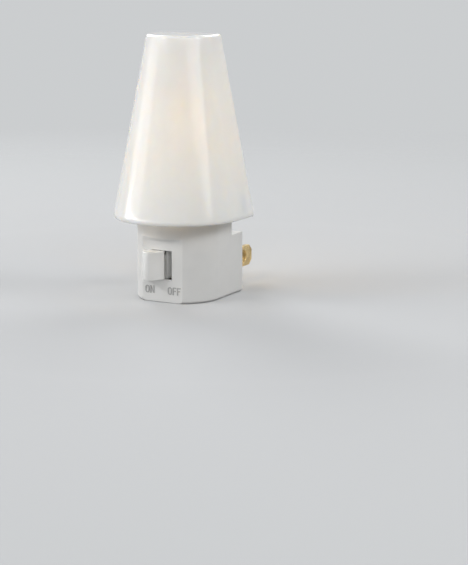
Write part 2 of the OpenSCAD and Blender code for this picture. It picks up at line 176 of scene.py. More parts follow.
def milky_shade():
    """Opal white shade: glossy skin over a plastic that lets the warm lamp light through."""
    colour = (0.935, 0.923, 0.893)
    paint = Paint("opal_shade", colour, 0.2, {
        "IOR": 1.49,
        "Subsurface Weight": 1.0,
        "Subsurface Radius": (1.0, 0.93, 0.8),
        "Subsurface Scale": 0.9 * MM,
        "Specular IOR Level": 0.2,
        "Coat Weight": 1.0,
        "Coat Roughness": 0.1,
    })
    paint.mottle(paint.noise(11), tinted(colour, 0.975), tinted(colour, 1.01))
    paint.uneven_gloss(paint.noise(5, detail=4), 0.16, 0.24)
    waves = paint.bump(paint.noise(14, detail=2), depth=0.035, strength=0.5)
    paint.bump(paint.noise(0.5), depth=0.0012, strength=0.5, under=waves)
    return paint.material


def lamp_glass():
    """Clear blown glass with faint waves and a light film of dust."""
    paint = Paint("lamp_glass", (0.985, 0.99, 0.985), 0.02, {"IOR": 1.47, "Transmission Weight": 1.0})
    paint.uneven_gloss(paint.noise(3, detail=4), 0.0, 0.045)
    paint.bump(paint.noise(8, detail=2), depth=0.05, strength=0.6)
    return paint.material


def phenolic_board():
    """Brown laminated board with paper fibres and a dull resin skin."""
    colour = (0.20, 0.095, 0.04)
    paint = Paint("phenolic_board", colour, 0.45)
    fibres = paint.noise(0.5, detail=5, roughness=0.7, place=paint.stretched((1, 1, 0.12)))
    paint.mottle(fibres, tinted(colour, 0.72), tinted(colour, 1.35))
    paint.uneven_gloss(paint.noise(1.2, detail=4), 0.38, 0.58)
    paint.bump(fibres, depth=0.008, strength=0.7)
    return paint.material


def glowing_wire():
    """Tungsten coil at working heat, brighter and paler in some of its turns."""
    paint = Paint("tungsten", (0.30, 0.28, 0.26), 0.4, {"Metallic": 1.0, "Emission Strength": 9.0})
    heat = paint.spread(paint.noise(0.8), 0, 1)
    paint.drive("Emission Color", paint.mix(heat, (1.0, 0.62, 0.24), (1.0, 0.78, 0.42)))
    paint.bump(heat, depth=0.004, strength=0.5)
    return paint.material


WHITE = (0.80, 0.80, 0.785)
# Grey of the raised ON and OFF letters: painted shade. It is a darker copy of the panel's white that
# stands in for the shade along the edges of letters moulded in that white.
LETTER_SHADE_GREY = (0.44, 0.44, 0.435)
BLACK, DARK_GLASS = (0.022, 0.022, 0.024), (0.012, 0.012, 0.014)
BRASS, DULL_BRASS = (0.80, 0.61, 0.30), (0.52, 0.36, 0.16)
STEEL, DULL_STEEL = (0.62, 0.62, 0.61), (0.36, 0.35, 0.33)
NICKEL, DULL_NICKEL = (0.72, 0.70, 0.66), (0.50, 0.46, 0.40)

MATERIALS = {
    "white_plastic": moulded("white_plastic", WHITE, (0.3, 0.42), (0.22, 0.005)),
    "back_plastic": moulded("back_plastic", tinted(WHITE, 0.97), (0.42, 0.58), (0.28, 0.010)),
    # Knob and carriage: the body's white made lighter. This is painted light, standing in for the extra
    # light on the knob's front.
    "switch_plastic": moulded("switch_plastic", tinted(WHITE, 1.11), (0.14, 0.24), (0.18, 0.002)),
    # Letters: painted shade, darker than the white panel they are moulded from
    "label_painted_shade": moulded("label_painted_shade", LETTER_SHADE_GREY, (0.4, 0.52), (0.15, 0.004)),
    "shade_plastic": milky_shade(),
    "blade_brass": drawn_metal("blade_brass", BRASS, DULL_BRASS, (0.22, 0.38), (1, 0.04, 1)),
    "strip_brass": drawn_metal("strip_brass", BRASS, DULL_BRASS, (0.28, 0.45), (0.1, 1, 1)),
    "cap_metal": drawn_metal("cap_metal", NICKEL, DULL_NICKEL, (0.2, 0.36), (1, 1, 0.3), line=0.3),
    "steel": drawn_metal("steel", STEEL, DULL_STEEL, (0.25, 0.42), (1, 0.1, 1)),
    "board": phenolic_board(),
    "socket_black": moulded("socket_black", BLACK, (0.3, 0.5), (0.3, 0.008), mottle=0.2),
    "lamp_glass": lamp_glass(),
    "dark_glass": moulded("dark_glass", DARK_GLASS, (0.06, 0.14), (1.5, 0.01), mottle=0.2),
    "filament": glowing_wire(),
}

# ---------------------------------------------------------------------------
# Mesh helpers

# Distances in metres at which points of a CAD mesh, and of a mesh made here, are welded
WELD_CAD, WELD = 1e-6, 1e-7
# CAD triangles that meet at less than the first angle become one face, and edges of a rounded copy
# that are sharper than the second stay sharp
FLAT_ANGLE, SHARP_ANGLE = 0.6, 48


def add_object(name, data):
    """New object in the scene, with a mesh, curve, light or camera as its data."""
    made = bpy.data.objects.new(name, data)
    bpy.context.scene.collection.objects.link(made)
    return made


def link_piece(mesh, body, finish, *nodes):
    """Places a mesh as a piece of the same name that rides on a body and may stand for CAD nodes."""
    piece = add_object(mesh.name, mesh)
    mesh.materials.clear()
    mesh.materials.append(MATERIALS[finish])
    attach(piece, body)
    if nodes:
        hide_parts(*nodes)
    return piece


def mesh_of(name, points, faces, sharp=40):
    """Mesh from points in metres, smooth shaded except at edges sharper than the given angle."""
    mesh = bpy.data.meshes.new(name)
    mesh.from_pydata([tuple(p) for p in points], [], faces)
    shape = bmesh.new()
    shape.from_mesh(mesh)
    bmesh.ops.remove_doubles(shape, verts=shape.verts, dist=WELD)
    bmesh.ops.recalc_face_normals(shape, faces=shape.faces)
    shape.to_mesh(mesh)
    shape.free()
    mesh.shade_smooth()
    mesh.set_sharp_from_angle(angle=math.radians(sharp))
    return mesh


def rounded_copy(node, name, width, picks=None, before=None, angle=28):
    """A CAD node's shape with its triangles joined into faces and its edges rounded.

    Edges sharper than the angle are rounded, unless picks says no. before changes the shape first.
    """
    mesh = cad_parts[node].data.copy()
    mesh.name = name
    shape = bmesh.new()
    shape.from_mesh(mesh)
    bmesh.ops.remove_doubles(shape, verts=shape.verts, dist=WELD_CAD)
    if before:
        before(shape)
    bmesh.ops.dissolve_limit(
        shape, angle_limit=math.radians(FLAT_ANGLE), verts=shape.verts, edges=shape.edges
    )
    corner = math.radians(angle)
    edges = [
        e for e in shape.edges
        if len(e.link_faces) == 2 and e.calc_face_angle(0) > corner and (picks is None or picks(e))
    ]
    bmesh.ops.bevel(
        shape, geom=edges, offset=width * MM, offset_type="OFFSET", segments=3,
        profile=0.5, affect="EDGES", clamp_overlap=False,
    )
    for face in shape.faces:
        face.smooth = True
    for edge in shape.edges:
        edge.smooth = len(edge.link_faces) == 2 and edge.calc_face_angle(0) < math.radians(SHARP_ANGLE)
    shape.to_mesh(mesh)
    shape.free()
    if "custom_normal" in mesh.attributes:
        mesh.attributes.remove(mesh.attributes["custom_normal"])
    return mesh


def rounded_piece(node, name, body, finish, width, **how):
    """Replaces a CAD node by its rounded copy, whose large faces stay flat beside the round edges."""
    piece = link_piece(rounded_copy(node, name, width, **how), body, finish, node)
    weighted = piece.modifiers.new("even_normals", "WEIGHTED_NORMAL")
    weighted.weight = 60
    weighted.keep_sharp = True


def grid_faces(rows, wide, around=True, closed=False):
    """Faces between rows of points, each wide points long.

    around joins the ends of each row, and closed joins the last row to the first.
    """
    faces = []
    for r in range(rows if closed else rows - 1):
        low, high = r * wide, (r + 1) % rows * wide
        for c in range(wide if around else wide - 1):
            n = (c + 1) % wide
            faces.append((low + c, low + n, high + n, high + c))
    return faces


def lamp_point(wide, deep, turn, height):
    """Point in metres of a level ellipse about the lamp's axis, at a turn in radians."""
    return LAMP_AXIS + Vector((wide * math.cos(turn), deep * math.sin(turn), height)) * MM


def turns(steps):
    """Even angles of a full turn, in radians."""
    return [2 * math.pi * k / steps for k in range(steps)]


def arch(share):
    """0 at both ends of the range 0 to 1, and 1 in its middle."""
    return 1 - (2 * share - 1) ** 2


def smooth_line(knots, per_span):
    """Catmull-Rom curve through knots of any dimension, with per_span points for each span."""
    knots = [Vector(k) for k in knots]
    ends = [2 * knots[0] - knots[1], *knots, 2 * knots[-1] - knots[-2]]
    line = []
    for i in range(1, len(ends) - 2):
        a, b, c, d = ends[i - 1:i + 3]
        for s in range(per_span):
            t = s / per_span
            line.append(0.5 * (
                2 * b + (c - a) * t + (2 * a - 5 * b + 4 * c - d) * t ** 2
                + (3 * b - a - 3 * c + d) * t ** 3
            ))
    return line + [knots[-1]]


def tube(path, radius, sides=10):
    """Points and faces of a round wire with closed ends along a path in metres."""
    points = []
    side = Vector((0, 1, 0))
    for i, place in enumerate(path):
        ahead = (path[min(i + 1, len(path) - 1)] - path[max(i - 1, 0)]).normalized()
        side = (side - ahead * side.dot(ahead)).normalized()
        other = ahead.cross(side)
        for turn in turns(sides):
            points.append(place + (side * math.cos(turn) + other * math.sin(turn)) * radius * MM)
    last = (len(path) - 1) * sides
    ends = [tuple(reversed(range(sides))), tuple(range(last, last + sides))]
    return points, grid_faces(len(path), sides) + ends


def joined(*parts):
    """Several (points, faces) pairs as one."""
    points, faces = [], []
    for more, around in parts:
        start = len(points)
        points.extend(more)
        faces.extend(tuple(start + i for i in face) for face in around)
    return points, faces


# ---------------------------------------------------------------------------
# Base, with the sizes that the CAD has

BASE_HALF, BASE_TOP = 13, 26
FRONT_CENTRE = -15.3
PANEL_Y, PANEL_TOP = -26.4, 11.3
STEP_Y, STEP_TOP = -6.9, 10.3
# Distance within which a point counts as lying on a face
NEAR = 0.03


def flatten_letters(shape):
    """Presses the square letters of the CAD shell flat, since rounded ones take their place."""
    for vert in shape.verts:
        if vert.co.y < (PANEL_Y - NEAR) * MM and vert.co.z < (PANEL_TOP - NEAR) * MM:
            vert.co.y = PANEL_Y * MM
    bmesh.ops.remove_doubles(shape, verts=shape.verts, dist=WELD_CAD)
    bmesh.ops.dissolve_degenerate(shape, dist=WELD, edges=shape.edges)


def outside(place):
    """True for a point in metres on the outer faces of the base shell."""
    x, y, z = place / MM
    return (
        abs(x) > BASE_HALF - NEAR
        or y < PANEL_Y + NEAR
        or y > -NEAR
        or z < FLOOR_Z / MM + NEAR
        or z > BASE_TOP - NEAR
        or (y > STEP_Y - NEAR and z > STEP_TOP - NEAR)
        or (y < FRONT_CENTRE and math.hypot(x, y - FRONT_CENTRE) > BASE_HALF - NEAR)
    )


def on_skin(edge):
    """True for an outer edge of the base shell, apart from the crisp top edge of the panel."""
    if all(abs(vert.co.z - PANEL_TOP * MM) < NEAR * MM for vert in edge.verts):
        return False
    return all(outside(vert.co) for vert in edge.verts)


def build_base():
    rounded_piece(
        "base_shell", "base_moulding", "base", "white_plastic", width=0.22,
        picks=on_skin, before=flatten_letters, angle=24,
    )


def build_back():
    """Rear moulding, plug blades and screws."""
    rounded_piece("back_plate", "rear_moulding", "base", "back_plastic", width=0.15)
    rounded_piece("blade_hot", "narrow_blade", "base", "blade_brass", width=0.18)
    rounded_piece("blade_neutral", "wide_blade", "base", "blade_brass", width=0.18)
    rounded_piece("case_screws", "closing_screws", "base", "steel", width=0.07)


# ---------------------------------------------------------------------------
# Letters of the switch panel

LETTER_WIDE, LETTER_HIGH, STROKE = 1.42, 2.3, 0.34
LETTER_GAP = 0.27
LETTER_CORNER = 0.7
LETTERS_Z = -5.65
ON_LEFT, OFF_LEFT = -5.85, 1.85
# Half thickness without the softened edges, their size, and how far the middle is in front of the panel
LETTER_HALF, LETTER_EDGE, LETTER_OUT = 0.07, 0.05, 0.03
# Height of the ends of the N's slanted bar, in strokes
SLANT_END = 1.6875
# Width of the F in letter widths, length of its middle bar in widths of the F, height of that bar in
# letter heights, and its thickness in strokes
F_WIDE, F_BAR_LONG, F_BAR_Z, F_BAR_THICK = 0.84, 0.86, 0.46, 0.9


def round_box(inset=0.0, steps=5):
    """Closed outline of a letter's box with round corners, anticlockwise."""
    radius = LETTER_CORNER - inset
    low = inset + radius
    right, top = LETTER_WIDE - low, LETTER_HIGH - low
    corners = [(right, top, 0), (low, top, 90), (low, low, 180), (right, low, 270)]
    outline = []
    for x, y, start in corners:
        for k in range(steps + 1):
            turn = math.radians(start + 90 * k / steps)
            outline.append((x + radius * math.cos(turn), y + radius * math.sin(turn)))
    return outline


# A letter is a list of closed outlines, the first of which is its outer one


def letter_o():
    return [round_box(), list(reversed(round_box(inset=STROKE)))]


def letter_n():
    w, h, s = LETTER_WIDE, LETTER_HIGH, STROKE
    end = s * SLANT_END
    return [[
        (0, 0), (s, 0), (s, h - end), (w - s, 0), (w, 0),
        (w, h), (w - s, h), (w - s, end), (s, h), (0, h),
    ]]


def letter_f():
    w, h, s = LETTER_WIDE * F_WIDE, LETTER_HIGH, STROKE
    bar = w * F_BAR_LONG
    low = h * F_BAR_Z
    high = low + s * F_BAR_THICK
    return [[
        (0, 0), (s, 0), (s, low), (bar, low), (bar, high), (s, high),
        (s, h - s), (w, h - s), (w, h), (0, h),
    ]]


def word_curve(name, letters, left):
    """Flat curve of a word's outlines with a little thickness and softened edges."""
    curve = bpy.data.curves.new(name, "CURVE")
    curve.dimensions = "2D"
    curve.fill_mode = "BOTH"
    curve.extrude = LETTER_HALF * MM
    curve.bevel_depth = LETTER_EDGE * MM
    curve.bevel_resolution = 2
    curve.offset = -LETTER_EDGE * MM
    for outlines in letters:
        for outline in outlines:
            spline = curve.splines.new("POLY")
            spline.points.add(len(outline) - 1)
            for point, (x, y) in zip(spline.points, outline):
                point.co = ((left + x) * MM, y * MM, 0, 1)
            spline.use_cyclic_u = True
        left += max(x for x, _ in outlines[0]) + LETTER_GAP
    return curve


def word(name, letters, left):
    """Raised word on the switch panel."""
    drawn = add_object(name, word_curve(name, letters, left))
    mesh = bpy.data.meshes.new_from_object(drawn.evaluated_get(bpy.context.evaluated_depsgraph_get()))
    bpy.data.objects.remove(drawn)
    mesh.name = name
    upright = Matrix.Rotation(math.pi / 2, 4, "X")
    mesh.transform(Matrix.Translation(Vector((0, PANEL_Y - LETTER_OUT, LETTERS_Z)) * MM) @ upright)
    mesh.shade_smooth()
    mesh.set_sharp_from_angle(angle=math.radians(50))
    # The letters' grey finish is painted shade
    link_piece(mesh, "base", "label_painted_shade")


def build_labels():
    word("label_on", [letter_o(), letter_n()], ON_LEFT)
    word("label_off", [letter_o(), letter_f(), letter_f()], OFF_LEFT)


# ---------------------------------------------------------------------------
# Switch

KNOB_X = -2.75
KNOB_LOW, KNOB_HIGH = -1.2, 7.4
# Places along Y of the back face, the foot of the slanted flanks and the nose
KNOB_BACK, KNOB_FOOT, KNOB_FRONT = -26.46, -26.95, -31.1
# Half widths at the foot and at the nose
KNOB_HALF, KNOB_NOSE = 3.6, 0.88
# Swell of the slanted flanks and of the nose
KNOB_BULGE, KNOB_CROWN = 0.3, 0.16
# Radii along the top and bottom edges and of the back corners
KNOB_ROUND, KNOB_CORNER = 0.28, 0.25
# Size of the cut corners of the nose, and how far they end behind its front
NOSE_EDGE, NOSE_DIP = 0.12, 0.02
FLANK_STEPS, NOSE_STEPS, ROUND_STEPS = 24, 6, 4
# Plane in front of which the CAD slider is cut off
KNOB_CUT = -26.7


def knob_outline():
    """Plan of the knob from its back right corner round the nose to its back left corner."""
    right = []
    for k in range(ROUND_STEPS + 1):
        turn = math.pi / 2 * (1 - k / ROUND_STEPS)
        x = KNOB_HALF - KNOB_CORNER + KNOB_CORNER * math.cos(turn)
        right.append((x, KNOB_BACK - KNOB_CORNER + KNOB_CORNER * math.sin(turn)))
    start, end = Vector((KNOB_HALF, KNOB_FOOT)), Vector((KNOB_NOSE, KNOB_FRONT + NOSE_EDGE))
    along = end - start
    outwards = Vector((-along.y, along.x)).normalized()
    for k in range(FLANK_STEPS + 1):
        share = k / FLANK_STEPS
        right.append(tuple(start.lerp(end, share) + outwards * KNOB_BULGE * arch(share)))
    right.append((KNOB_NOSE - NOSE_EDGE, KNOB_FRONT + NOSE_DIP))
    nose = []
    for k in range(1, NOSE_STEPS):
        share = k / NOSE_STEPS
        nose.append((KNOB_NOSE * (1 - 2 * share), KNOB_FRONT - KNOB_CROWN * arch(share)))
    return right + nose + [(-x, y) for x, y in reversed(right)]


def build_knob():
    """Knob whose outline shrinks towards its rounded top and bottom edges."""
    outline = knob_outline()
    levels = []
    for k in range(ROUND_STEPS + 1):
        turn = math.pi / 2 * k / ROUND_STEPS
        levels.append((KNOB_ROUND * (1 - math.sin(turn)), KNOB_LOW + KNOB_ROUND * (1 - math.cos(turn))))
    levels += [(inset, KNOB_LOW + KNOB_HIGH - z) for inset, z in reversed(levels)]
    points = []
    for inset, z in levels:
        narrow, shallow = 1 - inset / KNOB_HALF, 1 - inset / (KNOB_BACK - KNOB_FRONT)
        for x, y in outline:
            points.append(Vector((KNOB_X + x * narrow, KNOB_BACK + (y - KNOB_BACK) * shallow, z)) * MM)
    around = len(outline)
    ends = [tuple(reversed(range(around))), tuple(range(len(points) - around, len(points)))]
    mesh = mesh_of("slide_knob", points, grid_faces(len(levels), around) + ends, sharp=32)
    link_piece(mesh, "switch", "switch_plastic")


def drop_knob(shape):
    """Takes the front of the CAD slider off, since the rounded knob takes its place."""
    front = [v for v in shape.verts if v.co.y < KNOB_CUT * MM]
    bmesh.ops.delete(shape, geom=front, context="VERTS")


def build_switch():
    build_knob()
    rounded_piece("slider", "slide_carriage", "switch", "switch_plastic", width=0.08, before=drop_knob)


# ---------------------------------------------------------------------------
# Shade, with the sizes that the CAD has, at its rim and at its top

RIM_Z, TOP_Z = 16.2, 70.6
HALF_LOW, HALF_TOP = 19.84, 10.2
MID_LOW, MID_TOP = 16.05, 14.72
BACK_LOW, BACK_TOP = 5.22, 8.73
SHADE_WALL = 1.2
# Height and inset of the rounding of the rim, outside and inside
RIM_OUTER, RIM_INNER = (1.6, 0.72), (0.6, 0.48)
# Radius of the top edge outside and inside, and of the free edges at the back
TOP_ROUND, TOP_ROUND_INNER, LIP_ROUND = 0.8, 0.7, 0.35
# Rise of the top's middle, and the width of the top from which it is full
TOP_CROWN, CROWN_REACH = 0.1, 8
# Steps across the wall: its round front, each flat side and each free edge
ARC_STEPS, SIDE_STEPS, LIP_STEPS = 96, 6, 4
EDGE_STEPS = SIDE_STEPS + LIP_STEPS
SHADE_COLUMNS = ARC_STEPS + 2 * EDGE_STEPS + 1
# Steps up the wall: rim, straight wall and top edge, and steps across the top
RIM_STEPS, WALL_STEPS, CORNER_STEPS, CROSS_STEPS = 6, 26, 8, 14
# Ribs that slide into the grooves of the base: right one's outline as (x, z), and its y range
RIB_OUTLINE = [(12.4, 18.05), (18.9, 18.05), (17.9, 23.5), (12.4, 22.6)]
RIB_Y = (-12, -10)


def shade_point(z, inset, lean, sign, column):
    """Point of the shade wall; lean is the tilt of the wall there and column counts from the left edge."""
    last = SHADE_COLUMNS - 1
    from_edge = min(column, last - column)
    turn = math.pi / 2 * max(0, 1 - from_edge / LIP_STEPS)
    sink = sign * LIP_ROUND * (1 - math.cos(turn))
    z, inset = z - sink * math.sin(lean), inset + sink * math.cos(lean)
    t = (z - RIM_Z) / (TOP_Z - RIM_Z)
    half = HALF_LOW + (HALF_TOP - HALF_LOW) * t - inset
    mid = -(MID_LOW + (MID_TOP - MID_LOW) * t)
    back = -(BACK_LOW + (BACK_TOP - BACK_LOW) * t)
    if from_edge < EDGE_STEPS:
        start = back - LIP_ROUND * (1 - math.sin(turn))
        share = max(0, from_edge - LIP_STEPS) / SIDE_STEPS
        x, y = math.copysign(half, column - last / 2), start + (mid - start) * share
    else:
        turn = math.pi * (column - EDGE_STEPS) / ARC_STEPS
        x, y = -half * math.cos(turn), mid - half * math.sin(turn)
    return Vector((x, y, z)) * MM


def shade_profile(outer):
    """(height, inset, lean) up one side of the shade's wall, with lean in radians."""
    sign, start = (1, 0) if outer else (-1, SHADE_WALL)
    rim_height, rim_inset = RIM_OUTER if outer else RIM_INNER
    top, corner = (TOP_Z - TOP_CROWN, TOP_ROUND) if outer else (TOP_Z - SHADE_WALL, TOP_ROUND_INNER)
    line = []
    for k in range(RIM_STEPS + 1):
        turn = math.pi / 2 * k / RIM_STEPS
        height = RIM_Z + rim_height * (1 - math.cos(turn))
        line.append((height, start + sign * rim_inset * (1 - math.sin(turn)), turn - math.pi / 2))
    low, high = line[-1][0], top - corner
    line += [(low + (high - low) * k / WALL_STEPS, start, 0) for k in range(1, WALL_STEPS)]
    for k in range(CORNER_STEPS + 1):
        turn = math.pi / 2 * k / CORNER_STEPS
        line.append((high + corner * math.sin(turn), start + corner * (1 - math.cos(turn)), turn))
    return line


def close_top(points, rim, first):
    """Adds rungs of points across the top, from left to right inside its rim.

    first is the number of the rim's first point. Returns the top's faces and the rung at its open edge.
    """
    half = len(rim) // 2
    rungs = []
    for c in range(half):
        left, right = rim[c], rim[-1 - c]
        rise = TOP_CROWN * MM * min(1, (right - left).length / (CROWN_REACH * MM))
        rung = [first + c]
        for k in range(1, CROSS_STEPS):
            place = left.lerp(right, k / CROSS_STEPS)
            place.z += rise * arch(k / CROSS_STEPS)
            rung.append(len(points))
            points.append(place)
        rungs.append([*rung, first + len(rim) - 1 - c])
    faces = []
    for near, far in zip(rungs, rungs[1:]):
        for k in range(CROSS_STEPS):
            faces.append((near[k], near[k + 1], far[k + 1], far[k]))
    for k in range(CROSS_STEPS):
        faces.append((rungs[-1][k], rungs[-1][k + 1], first + half))
    return faces, rungs[0]


def shade_sheet(outer):
    """Points and faces of one side of the wall with its top, and its free edge as point numbers."""
    sign = 1 if outer else -1
    wide = SHADE_COLUMNS
    levels = [[shade_point(*step, sign, c) for c in range(wide)] for step in shade_profile(outer)]
    rows = len(levels)
    points = [p for level in levels for p in level]
    top_faces, back_rung = close_top(points, levels[-1], (rows - 1) * wide)
    left = [r * wide for r in range(rows)]
    right = [r * wide + wide - 1 for r in reversed(range(rows))]
    return points, grid_faces(rows, wide, around=False) + top_faces, left + back_rung[1:-1] + right


def shade_rib(side):
    points = [Vector((side * x, y, z)) * MM for y in RIB_Y for x, z in RIB_OUTLINE]
    return points, [(3, 2, 1, 0), (4, 5, 6, 7)] + grid_faces(2, 4)


def build_shade():
    """Outer and inner sheet joined along their free edges, with a rib on each side."""
    outer_points, outer_faces, outer_edge = shade_sheet(True)
    inner_points, inner_faces, inner_edge = shade_sheet(False)
    shift = len(outer_points)
    inner_edge = [shift + i for i in inner_edge]
    faces = outer_faces + [tuple(shift + i for i in reversed(f)) for f in inner_faces]
    for k in range(len(outer_edge) - 1):
        faces.append((outer_edge[k], outer_edge[k + 1], inner_edge[k + 1], inner_edge[k]))
    points, faces = joined((outer_points + inner_points, faces), shade_rib(-1), shade_rib(1))
    link_piece(mesh_of("shade_moulding", points, faces, sharp=50), "shade", "shade_plastic", "shade")


# ---------------------------------------------------------------------------
# Lamp: lines of (radius, height) or (x, z) pairs

GLASS_KNOTS = [
    (5, 21.5), (5, 24.8), (5.5, 26.6), (6.5, 29), (7.9, 32.6), (9.1, 36.6), (10, 40.8), (10.48, 44.6),
    (10.6, 47.4), (10.35, 50.4), (9.6, 54), (8.3, 57.6), (6.6, 60.6), (4.6, 63), (2.4, 64.8), (0.02, 65.5),
]
GLASS_WALL, GLASS_STEPS = 0.5, 80
# Smallest radius of the glass inside, so that its last ring stays a ring
GLASS_TIP = 0.01
CAP_LOW, CAP_HIGH, CAP_WALL = 13.9, 24.8, 0.25
CAP_CREST, CAP_DEPTH, CAP_PITCH = 5.93, 0.42, 2.54
# Heights over which the thread grows and dies out, and the plain collar above it
RUN_IN, RUN_OUT, CAP_COLLAR = 1.2, 0.9, 1.6
CAP_ROWS, CAP_STEPS = 72, 84
# Radius and height of the middle of the stem's flat foot, and (radius, height) up its flare
STEM_FOOT = (0.02, 22)
STEM_FLARE = [(4.35, 22), (4.0, 22.7), (2.7, 24.4), (1.9, 26.4), (1.6, 29), (1.6, 31.5)]
# The pinch: where it starts and ends, how far it widens and thins the stem, and its rounded end
PINCH_LOW, PINCH_HIGH, PINCH_SPREAD, PINCH_ROUND = 31.5, 34.4, 0.85, 0.7
STEM_STEPS, PINCH_STEPS, PINCH_END_STEPS = 48, 10, 6
FILAMENT_HALF, FILAMENT_Z, FILAMENT_RISE = 4.9, 48.35, 2.1
FILAMENT_WIRE, COIL_RADIUS, COIL_TURNS, COIL_STEPS = 0.075, 0.34, 52, 12
HOOK_Z, HOOK_RADIUS = 48.1, 0.25
# Points of the hook, in radians from its start
HOOK_TURNS = (0.5, 1.0, 1.6, 2.2, 2.8, 3.4)
WIRE_KNOTS = [(1.7, 34.2), (1.9, 35.6), (2.6, 38.4), (3.9, 42.6), (4.7, 45.8), (FILAMENT_HALF, HOOK_Z)]
WIRE_RADIUS = 0.17


def build_glass():
    """Envelope with an even wall: its profile goes up outside and down inside."""
    outer = smooth_line(GLASS_KNOTS, per_span=4)
    inner = []
    for i, here in enumerate(outer):
        along = (outer[min(i + 1, len(outer) - 1)] - outer[max(i - 1, 0)]).normalized()
        place = here + Vector((-along.y, along.x)) * GLASS_WALL
        inner.append(Vector((max(place.x, GLASS_TIP), place.y)))
    profile = [*outer, *reversed(inner)]
    points = [lamp_point(r, r, turn, z) for r, z in profile for turn in turns(GLASS_STEPS)]
    faces = grid_faces(len(profile), GLASS_STEPS, closed=True)
    mesh = mesh_of("bulb_envelope", points, faces, sharp=70)
    glass = link_piece(mesh, "lamp", "lamp_glass", "bulb_glass")
    glass.visible_shadow = False


def thread_radius(height, turn):
    """Radius of the rolled thread of the cap at a height and a turn in radians."""
    fade = min(1, (height - CAP_LOW) / RUN_IN, (CAP_HIGH - CAP_COLLAR - height) / RUN_OUT)
    wave = 0.5 + 0.5 * math.cos(2 * math.pi * (height - CAP_LOW) / CAP_PITCH - turn)
    return CAP_CREST - CAP_DEPTH + CAP_DEPTH * max(fade, 0) * wave


def build_cap():
    """Thin threaded cap: rings of points up its outside and down its inside."""
    heights = [CAP_LOW + (CAP_HIGH - CAP_LOW) * r / CAP_ROWS for r in range(CAP_ROWS + 1)]
    rings = [(z, 0) for z in heights] + [(z, CAP_WALL) for z in reversed(heights)]
    points = []
    for height, inset in rings:
        for turn in turns(CAP_STEPS):
            radius = thread_radius(height, turn) - inset
            points.append(lamp_point(radius, radius, turn, height))
    faces = grid_faces(len(rings), CAP_STEPS, closed=True)
    link_piece(mesh_of("screw_cap", points, faces, sharp=50), "lamp", "cap_metal", "bulb_cap")


def stem_rings():
    """(half width, half depth, height) up the stem."""
    radius = STEM_FLARE[-1][0]
    rings = [(r, r, z) for r, z in (STEM_FOOT, *smooth_line(STEM_FLARE, per_span=4))]
    for k in range(1, PINCH_STEPS + 1):
        share = k / PINCH_STEPS
        spread = PINCH_SPREAD * (3 * share ** 2 - 2 * share ** 3)
        height = PINCH_LOW + (PINCH_HIGH - PINCH_LOW) * share
        rings.append((radius + spread, radius - spread, height))
    wide, deep = radius + PINCH_SPREAD - PINCH_ROUND, radius - PINCH_SPREAD
    for k in range(1, PINCH_END_STEPS + 1):
        # The last ring stops just short of a flat line
        turn = math.pi / 2 * k / (PINCH_END_STEPS + 0.2)
        height = PINCH_HIGH + PINCH_ROUND * math.sin(turn)
        rings.append((wide + PINCH_ROUND * math.cos(turn), deep * math.cos(turn), height))
    return rings


def build_stem():
    """Flared glass stem with a flattened pinch that holds the two wires."""
    rings = stem_rings()
    steps = STEM_STEPS
    points = [lamp_point(wide, deep, turn, z) for wide, deep, z in rings for turn in turns(steps)]
    faces = grid_faces(len(rings), steps)
    last = len(points) - steps
    for k in range(steps // 2):
        n = k + 1
        faces.append((last + k, last + n, last + (steps - n) % steps, last + (steps - k) % steps))
    stem = link_piece(mesh_of("glass_stem", points, faces, sharp=60), "lamp", "lamp_glass", "bulb_stem")
    stem.visible_shadow = False


def build_wires():
    """Two support wires, each with a hook round an end of the filament."""
    wires = []
    for side in (-1, 1):
        line = smooth_line([(side * x, 0, z) for x, z in WIRE_KNOTS], per_span=5)
        for turn in HOOK_TURNS:
            x = side * (FILAMENT_HALF + HOOK_RADIUS * math.sin(turn))
            line.append(Vector((x, 0, HOOK_Z + HOOK_RADIUS * (1 - math.cos(turn)))))
        wires.append(tube([LAMP_AXIS + p * MM for p in line], WIRE_RADIUS))
    link_piece(mesh_of("support_wires", *joined(*wires)), "lamp", "steel", "bulb_wires")


def build_filament():
    """Fine coil about an arch between the two hooks."""
    path = []
    count = COIL_TURNS * COIL_STEPS
    for i in range(count + 1):
        share = i / count
        x = FILAMENT_HALF * 2 * share - FILAMENT_HALF
        z = FILAMENT_Z + FILAMENT_RISE * math.sin(math.pi * share)
        lean = math.atan2(FILAMENT_RISE * math.pi * math.cos(math.pi * share), FILAMENT_HALF * 2)
        turn = 2 * math.pi * i / COIL_STEPS
        up = COIL_RADIUS * math.cos(turn)
        place = Vector((x - up * math.sin(lean), COIL_RADIUS * math.sin(turn), z + up * math.cos(lean)))
        path.append(LAMP_AXIS + place * MM)
    mesh = mesh_of("coiled_filament", *tube(path, FILAMENT_WIRE, sides=6))
    link_piece(mesh, "lamp", "filament", "bulb_filament")


# ---------------------------------------------------------------------------
# CAD nodes that stay as they are, each with its finish

STAY = {
    "blade_retainer": "board", "hot_lead": "strip_brass", "neutral_lead": "strip_brass",
    "load_lead": "strip_brass", "switch_board": "board", "detent_spring": "steel",
    "socket_cup": "socket_black", "socket_shell": "strip_brass", "centre_contact": "strip_brass",
    "rivets": "steel", "contact_spring": "steel", "bridge_contact": "strip_brass",
    "bulb_insulator": "dark_glass", "bulb_tip": "steel",
}


def finish_cad_nodes():
    for node, finish in STAY.items():
        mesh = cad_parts[node].data
        mesh.materials.clear()
        mesh.materials.append(MATERIALS[finish])


# ---------------------------------------------------------------------------
# Studio

# The floor as it is seen, and what it sends back onto the object
FLOOR_COLOUR, FLOOR_BOUNCE = (0.62, 0.63, 0.64), (0.26, 0.26, 0.26)
# Half size of the floor, and the distances between which it fades into the backdrop, all in metres
FLOOR_REACH, FLOOR_FADE = 3, (0.12, 0.42)
# Distance of the floor below the object, so that the two don't share a plane
FLOOR_GAP = 0.02
BACKDROP = (0.60, 0.615, 0.625)
AMBIENT, AMBIENT_LEVEL = (0.93, 0.96, 1.0), 0.1

